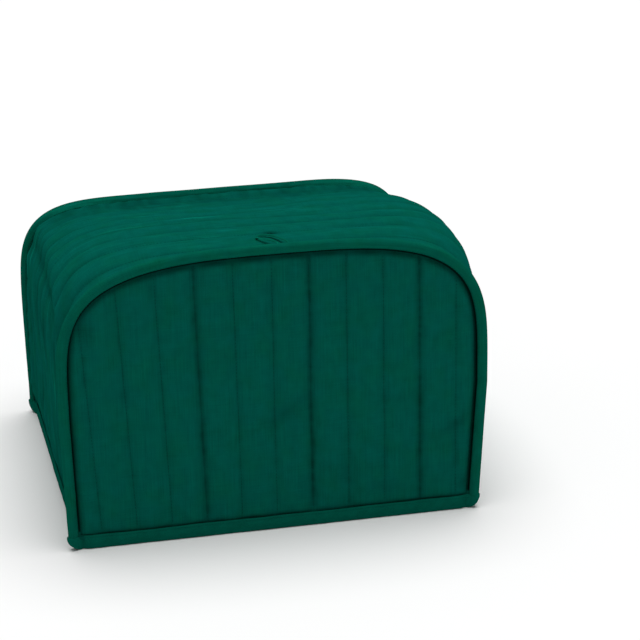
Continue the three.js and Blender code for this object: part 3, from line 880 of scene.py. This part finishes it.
def make_hem(ends):
    ring = make_hem_ring()
    for end in ends:
        for sign in (-1, 1):
            ear = make_ear(end, sign)
            join = ring.modifiers.new("ear", "BOOLEAN")
            join.operation, join.solver, join.object = "UNION", "EXACT", ear
            seen = ring.evaluated_get(bpy.context.evaluated_depsgraph_get())
            mesh = bpy.data.meshes.new_from_object(seen)
            ring.modifiers.clear()
            ring.data = mesh
            bpy.data.objects.remove(ear)
    ring.data.shade_smooth()
    return ring


# The loop

LOOP_LIFT = 4.5  # of its middle over the gusset
# X and distance behind the front seam
LOOP_ROUTE = [(7, 1.5), (6, 8), (2, 14), (-3, 19), (-6, 23)]
LOOP_ROUTE += [(-3, 27), (3, 25), (8, 19), (12, 10), (13, 1.5)]
LOOP_WIDTH, LOOP_THICKNESS = 0.9, 0.5  # half sizes of the folded strip


def top_height(behind, x):
    side = "left" if x < 0 else "right"
    ox, oz = half_outline(behind / GUSSET_DEPTH, side)
    return float(np.interp(abs(x), ox[::-1], oz[::-1]))


def curve_through(points, steps):
    """A Catmull-Rom curve through the points."""
    points = np.array(points, float)
    padded = np.concatenate([[2 * points[0] - points[1]], points, [2 * points[-1] - points[-2]]])
    made = []
    for i in range(1, len(padded) - 2):
        a, b, c, d = padded[i - 1 : i + 3]
        for t in np.linspace(0, 1, steps, endpoint=False):
            ease = [2 * b, c - a, 2 * a - 5 * b + 4 * c - d, 3 * b - a - 3 * c + d]
            made.append(0.5 * sum(part * t**k for k, part in enumerate(ease)))
    return np.array([*made, padded[-2]])


def make_loop():
    path = curve_through(
        [(x, FRONT_SEAM_Y + b, top_height(b, x) + LOOP_LIFT) for x, b in LOOP_ROUTE], 12
    )
    ahead = np.gradient(path, axis=0)
    ahead /= np.linalg.norm(ahead, axis=1)[:, None]
    across = np.cross(ahead, [0, 0, 1.0])
    across /= np.linalg.norm(across, axis=1)[:, None]
    up = np.cross(across, ahead)
    turn = np.linspace(0, 2 * math.pi, 20, endpoint=False)
    run = np.arange(len(path))
    lean = 0.5 * noise(run / 9, 0, 71)[:, None, None]
    flat_a = LOOP_WIDTH * np.sign(np.cos(turn)) * np.abs(np.cos(turn)) ** 0.7
    flat_b = LOOP_THICKNESS * np.sign(np.sin(turn)) * np.abs(np.sin(turn)) ** 0.7
    flat_b -= 0.18 * bell(flat_a, 0, 0.3) * np.sign(flat_b)
    side = across[:, None, :] * np.cos(lean) + up[:, None, :] * np.sin(lean)
    top = up[:, None, :] * np.cos(lean) - across[:, None, :] * np.sin(lean)
    rings = path[:, None, :] + flat_a[None, :, None] * side + flat_b[None, :, None] * top
    count = len(turn)
    faces = grid_faces(len(path), count, wrap=True)
    faces += end_caps(len(path), count)
    # Painted light: the strip's lower face and sides are made paler
    pale = np.where(np.sin(turn) < 0.3, -0.9, 0.0)
    flat = joined(turn[None, :], run[:, None], pale[None, :])
    return mesh_object("loop_strip", rings.reshape(-1, 3), faces, flat.reshape(-1, 3))


# Stitches

THREAD = 0.19  # half the thread's thickness
THREAD_SIDES = 6
STITCH_PITCH = 2.4
STITCH_LENGTH = 1.7


def stitches(path, normals, seed):
    """Points and faces of one row of stitches on a surface."""
    run = run_along(path)
    count = int(run[-1] / STITCH_PITCH)
    random = np.random.default_rng(seed)
    middles = (np.arange(count) + 0.5) * run[-1] / count
    middles += random.uniform(-0.2, 0.2, count)
    lengths = STITCH_LENGTH * random.uniform(0.85, 1.08, count)
    at = middles[:, None] + lengths[:, None] * np.array([-0.5, -0.27, 0.27, 0.5])
    at = np.clip(at, 0, run[-1])
    places = joined(*(np.interp(at, run, path[:, k]) for k in range(3)))
    up = joined(*(np.interp(at, run, normals[:, k]) for k in range(3)))
    up /= np.linalg.norm(up, axis=-1)[..., None]
    ahead = places[:, -1] - places[:, 0]
    ahead /= np.maximum(np.linalg.norm(ahead, axis=-1), 1e-6)[:, None]
    across = np.cross(ahead[:, None, :], up)
    across /= np.maximum(np.linalg.norm(across, axis=-1), 1e-6)[..., None]
    lift = np.array([-0.3, 0.1, 0.1, -0.3])[None, :, None]
    width = THREAD * np.array([0.55, 1, 1, 0.55])[None, :, None, None]
    turn = np.linspace(0, 2 * math.pi, THREAD_SIDES, endpoint=False)
    circle = np.cos(turn)[:, None] * across[..., None, :] + np.sin(turn)[:, None] * up[..., None, :]
    points = (places + lift * up)[..., None, :] + width * circle
    faces = []
    rings = at.shape[1]
    stitch = grid_faces(rings, THREAD_SIDES, wrap=True) + end_caps(rings, THREAD_SIDES)
    for k in range(count):
        first = k * rings * THREAD_SIDES
        faces += [tuple(first + i for i in face) for face in stitch]
    return points.reshape(-1, 3), faces


def sew(name, rows, material, slot):
    """One piece of several rows of stitches, each (path, normals)."""
    points, faces = [], []
    start = 0
    for k, (path, normals) in enumerate(rows):
        row_points, row_faces = stitches(np.asarray(path), np.asarray(normals), 100 + k)
        points.append(row_points)
        faces += [tuple(start + i for i in face) for face in row_faces]
        start += len(row_points)
    return dress(mesh_object(name, np.concatenate(points), faces), material, slot)


def panel_stitch_rows(end):
    rows = []
    for row in range(1, PANEL_LINES - 1):
        z = np.arange(FLANGE_BASE + 2.5, end.z.max(), 1.0)
        x = row_x(row, z, end.lean)
        distance = arch_distance(end, x, z)
        keep = (z < arch_height(end, x)) & (distance > 2.2) & (np.abs(x) < side_width(end, z))
        if keep.sum() < 12:
            continue
        x, z = x[keep], z[keep]
        y = end.y(z, panel_ahead(end, x, z, distance[keep], 1))
        normals = np.tile([0.0, end.facing, 0.0], (len(z), 1))
        rows.append((joined(x, y, z), normals))
    return rows


def gusset_stitch_rows():
    shares = np.linspace(0.012, 0.988, 500)
    rows = []
    for at in gusset_rows()[1:-1]:
        points, _ = gusset_points([at], shares, 1)
        _, _, out_x, out_z, _ = outline(at / GUSSET_DEPTH, shares)
        rows.append((points[0], joined(out_x, 0, out_z)))
    return rows


def binding_stitch_rows(end):
    rows = []
    spots = (np.array([[TAPE_STITCH, FLANGE_HALF], [TAPE_STITCH, -FLANGE_HALF]]), np.zeros((0, 2)))
    reach, across = binding_shape(end, spots)
    for side in (0, 1):
        out, ahead = end.flange(reach[:, side], across[:, side])
        x, z = end.x + out * end.out_x, end.z + out * end.out_z
        sign = 1 - 2 * side
        away, up = sign * end.facing * np.cos(end.tilt), -sign * np.sin(end.tilt)
        normals = joined(up * end.out_x, away, up * end.out_z)
        keep = slice(3, -3)
        rows.append((joined(x, end.y(z, ahead), z)[keep], normals[keep]))
    return rows


def hem_stitch_rows():
    places, outward, run = hem_path()
    rows = []
    for side in (1, -1):
        spots = (np.array([[side * FLANGE_HALF, HEM_STITCH]]), np.zeros((0, 2)))
        out, z = hem_shape(run, spots)
        xy = places + out * outward
        points = np.concatenate([xy, z], 1)
        points = np.concatenate([points, points[:1]])
        normals = np.concatenate([side * outward, np.zeros((len(run), 1))], 1)
        rows.append((points, np.concatenate([normals, normals[:1]])))
    return rows


# Materials


class Nodes:
    """A short way to write a material's nodes."""

    def __init__(self, name):
        self.material = bpy.data.materials.new(name)
        self.material.use_nodes = True
        self.tree = self.material.node_tree
        self.shader = self.tree.nodes["Principled BSDF"]

    def add(self, kind, inputs=(), **settings):
        made = self.tree.nodes.new(kind)
        for key, value in settings.items():
            setattr(made, key, value)
        for key, value in dict(inputs).items():
            self.put(made.inputs[key], value)
        return made

    def put(self, socket, value):
        if isinstance(value, bpy.types.NodeSocket):
            self.tree.links.new(value, socket)
        else:
            socket.default_value = value

    def math(self, kind, a, b=0.0):
        made = self.add("ShaderNodeMath", operation=kind)
        self.put(made.inputs[0], a)
        self.put(made.inputs[1], b)
        return made.outputs[0]

    def plus(self, a, b):
        return self.math("ADD", a, b)

    def times(self, a, b):
        return self.math("MULTIPLY", a, b)

    def blend(self, *parts):
        """The sum of (value, share) parts."""
        total = self.times(*parts[0])
        for part in parts[1:]:
            total = self.plus(total, self.times(*part))
        return total

    def above(self, value, floor):
        """How far a value is above a floor, or 0."""
        return self.math("MAXIMUM", self.math("SUBTRACT", value, floor), 0.0)

    def noise(self, place, scale, detail=2.0):
        """Noise over a place, stretched by a scale along each axis."""
        moved = self.add("ShaderNodeMapping", {"Vector": place, "Scale": scale})
        inputs = {"Vector": moved.outputs[0], "Scale": 1.0, "Detail": detail}
        return self.add("ShaderNodeTexNoise", inputs).outputs["Fac"]

    def mix(self, share, a, b):
        made = self.add("ShaderNodeMix", data_type="RGBA")
        self.put(made.inputs["Factor"], share)
        self.put(made.inputs[6], a)
        self.put(made.inputs[7], b)
        return made.outputs[2]

    def shades(self, value, colour, stops):
        """Shades of a colour: stops are (value, factor of the colour)."""
        made = self.add("ShaderNodeValToRGB", {"Fac": value})
        elements = made.color_ramp.elements
        stops = [(at, scaled(colour, factor)) for at, factor in stops]
        elements[0].position, elements[0].color = stops[0]
        elements[1].position, elements[1].color = stops[-1]
        for at, shade in stops[1:-1]:
            elements.new(at).color = shade
        return made.outputs["Color"]

    def finish(self, colour, height, strength, distance, mottle):
        """Bumps, roughness and the faint sheen of cotton."""
        inputs = {"Height": height, "Strength": strength, "Distance": distance}
        bump = self.add("ShaderNodeBump", inputs)
        self.put(self.shader.inputs["Normal"], bump.outputs["Normal"])
        rough = self.plus(0.84, self.times(mottle, 0.14))
        self.put(self.shader.inputs["Roughness"], rough)
        self.shader.inputs["Specular IOR Level"].default_value = 0.0
        self.shader.inputs["Sheen Weight"].default_value = 0.03
        self.shader.inputs["Sheen Roughness"].default_value = 0.5
        self.shader.inputs["Sheen Tint"].default_value = scaled(colour, 3.0)
        return self.material


def linear(red, green, blue):
    """A colour from sRGB values of 0 to 255."""
    parts = [c / 255 for c in (red, green, blue)]
    parts = [c / 12.92 if c <= 0.04045 else ((c + 0.055) / 1.055) ** 2.4 for c in parts]
    return (*parts, 1.0)


def scaled(colour, factor):
    return (*(min(1.0, c * factor) for c in colour[:3]), 1.0)


CLOTH_GREEN = linear(3, 86, 75)
TAPE_GREEN = linear(3, 86, 71)
THREAD_GREEN = linear(3, 64, 55)
CLOTH_SHADES = ((0.34, 0.78), (0.5, 1.0), (0.66, 1.2), (0.9, 1.75))
LEFT_SIDE = 140.0  # distance from the middle of the gusset where its left side begins


def cloth_material(name, colour, painted_streaks=0.0, painted_light=0.0):
    """Plain weave of uneven threads; painted shade turns it nearly black in a seam. It may get
    painted highlights on wrinkles, and the last argument is how much paler painted light makes the
    cloth where its place is so marked."""
    n = Nodes(name)
    place = n.add("ShaderNodeAttribute", attribute_name="flat").outputs["Vector"]
    # The third part of the flat place is painted shade above 0 and painted light below 0
    _, along, painted_shading = n.add("ShaderNodeSeparateXYZ", {"Vector": place}).outputs
    long, short = 0.035, 2.4  # features to a millimetre, along a thread and across it
    threads = n.noise(place, (short, long, 0), 1.0)
    cross = n.noise(place, (long, short, 0), 1.0)
    slub = n.noise(place, (0.4 * short, 0.4 * long, 0), 3.0)
    mottle = n.noise(place, (0.14, 0.11, 0), 3.0)
    weave = n.blend((threads, 0.6), (cross, 0.4))
    shade = n.blend((weave, 0.55), (mottle, 0.3), (slub, 0.15))
    if painted_streaks:
        # Painted highlights where wrinkles catch the light, more at the left
        fine = n.above(n.noise(place, (0.3, 0.016, 0)), 0.54)
        patch = n.above(n.noise(place, (0.03, 0.012, 0)), 0.42)
        left = n.above(n.times(along, -0.03), LEFT_SIDE * 0.03)
        more = n.plus(n.math("MINIMUM", left, 0.7), 1.0)
        shade = n.plus(shade, n.times(n.times(n.times(fine, patch), more), painted_streaks))
    dye_and_painted_light = n.shades(shade, colour, CLOTH_SHADES)
    greener = (colour[0], colour[1], 0.84 * colour[2], 1.0)
    patchy = n.times(n.math("SUBTRACT", n.noise(place, (0.06, 0.05, 0), 3.0), 0.4), 3.0)
    dye_and_painted_light = n.mix(patchy, dye_and_painted_light, n.shades(shade, greener, CLOTH_SHADES))
    # Painted light, paler where the third part is below 0
    if painted_light:
        pale = n.shades(shade, scaled(colour, painted_light), CLOTH_SHADES)
        dye_and_painted_light = n.mix(n.times(painted_shading, -1.0), dye_and_painted_light, pale)
    # Painted shade, towards near black where the third part is above 0
    n.put(n.shader.inputs["Base Color"], n.mix(painted_shading, dye_and_painted_light, scaled(colour, 0.06)))
    height = n.plus(weave, n.times(n.noise(place, (0.5, 0.35, 0)), 0.5))
    return n.finish(colour, height, 0.5, 0.00022, mottle)


def plain_material(name, colour, grain):
    """Thread or tape without a flat layout: fine grain over its own place."""
    n = Nodes(name)
    place = n.add("ShaderNodeTexCoord").outputs["Object"]
    fine = n.noise(place, (grain, grain, grain))
    wide = n.noise(place, (130.0, 130.0, 130.0), 3.0)
    shade = n.blend((fine, 0.6), (wide, 0.4))
    n.put(n.shader.inputs["Base Color"], n.shades(shade, colour, CLOTH_SHADES[:3]))
    return n.finish(colour, fine, 0.45, 0.0002, wide)


def floor_material():
    n = Nodes("pale floor")
    place = n.add("ShaderNodeTexCoord").outputs["Object"]
    shade = n.noise(place, (1.5, 1.5, 1.5))
    white = (0.9, 0.9, 0.9, 1.0)
    n.put(n.shader.inputs["Base Color"], n.shades(shade, white, [(0.3, 1.0), (0.7, 1.01)]))
    n.shader.inputs["Roughness"].default_value = 0.9
    n.shader.inputs["Specular IOR Level"].default_value = 0.1
    return n.material


# The stage

CAMERA_PLACE = (-0.2823, -1.6033, 0.7216)
CAMERA_RIGHT = (0.97723, -0.21155, -0.01647)
CAMERA_UP = (0.08989, 0.34244, 0.93523)
CAMERA_LENS = 135.0


def add_camera():
    data = bpy.data.cameras.new("camera")
    data.lens, data.sensor_width = CAMERA_LENS, 36.0
    data.clip_start, data.clip_end = 0.05, 50.0
    camera = placed("camera", data)
    right, up = np.array(CAMERA_RIGHT), np.array(CAMERA_UP)
    back = np.cross(right, up)
    turned = Matrix(np.stack([right, up, back], 1).tolist()).to_4x4()
    camera.matrix_world = Matrix.Translation(CAMERA_PLACE) @ turned
    bpy.context.scene.camera = camera


SKY_STRENGTH = 0.24
SUN_STRENGTH = 2.8
SUN_TOWARDS = (0.05, 0.03, 0.99)  # from the cover to the light
SUN_ANGLE = math.radians(56)  # a very wide lamp, for soft shadows


def add_lamp():
    data = bpy.data.lights.new("studio lamp", "SUN")
    data.energy, data.angle = SUN_STRENGTH, SUN_ANGLE
    lamp = placed("studio lamp", data)
    lamp.rotation_mode = "QUATERNION"
    lamp.rotation_quaternion = Vector(SUN_TOWARDS).to_track_quat("Z", "Y")


def add_studio():
    world = bpy.data.worlds.new("studio")
    world.use_nodes = True
    world.node_tree.nodes["Background"].inputs["Color"].default_value = (1, 1, 1, 1)
    world.node_tree.nodes["Background"].inputs["Strength"].default_value = SKY_STRENGTH
    bpy.context.scene.world = world
    add_lamp()
    mesh = bpy.data.meshes.new("floor")
    work = bmesh.new()
    bmesh.ops.create_circle(work, cap_ends=True, segments=64, radius=12.0)
    work.to_mesh(mesh)
    work.free()
    floor = placed("floor", mesh)
    mesh.materials.append(floor_material())
    bpy.context.scene.view_settings.view_transform = "Standard"


# The cover


def dress(piece, material, slot, *nodes):
    piece.data.materials.clear()
    piece.data.materials.append(material)
    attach(piece, "root")
    if nodes:
        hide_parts(*nodes)
    return piece


add_camera()
add_studio()

front = End("front", 0, STATIONS)
back = End("back", 1, STATIONS)

cloth = cloth_material("quilted cotton", CLOTH_GREEN)
# With painted highlights on the wrinkles
painted_highlights = cloth_material("quilted cotton, wrinkled", CLOTH_GREEN, painted_streaks=9.0)
tape = cloth_material("cotton tape", TAPE_GREEN)
# With painted light on the back tape's forward face and the loop's lower faces
painted_light_tape = cloth_material("cotton tape, faded at the back", TAPE_GREEN, painted_light=5.5)
hem_cotton = plain_material("cotton hem tape", TAPE_GREEN, 2300.0)
thread = plain_material("cotton thread", THREAD_GREEN, 4000.0)
pale_thread = plain_material("cotton thread, as the cloth", CLOTH_GREEN, 4000.0)

front_cloth = dress(make_panel(front, "front_cloth"), cloth, "quilted_cloth", "front_panel")
back_cloth = dress(make_panel(back, "back_cloth"), cloth, "quilted_cloth", "back_panel")
gusset = dress(make_gusset(), painted_highlights, "quilted_cloth", "gusset")
front_tape = dress(make_binding(front, "front_tape"), tape, "binding_tape", "front_binding")
back_tape = dress(make_binding(back, "back_tape"), painted_light_tape, "binding_tape", "back_binding")
hem_tape = dress(make_hem((front, back)), hem_cotton, "binding_tape", "hem_binding")
dress(make_loop(), painted_light_tape, "binding_tape", "hang_loop")

front_thread = sew("front_stitches", panel_stitch_rows(front), thread, "quilted_cloth")
back_thread = sew("back_stitches", panel_stitch_rows(back), thread, "quilted_cloth")
gusset_thread = sew("gusset_stitches", gusset_stitch_rows(), pale_thread, "quilted_cloth")
front_rows, back_rows = binding_stitch_rows(front), binding_stitch_rows(back)
front_tape_thread = sew("front_tape_stitches", front_rows, pale_thread, "binding_tape")
back_tape_thread = sew("back_tape_stitches", back_rows, pale_thread, "binding_tape")
hem_thread = sew("hem_stitches", hem_stitch_rows(), pale_thread, "binding_tape")
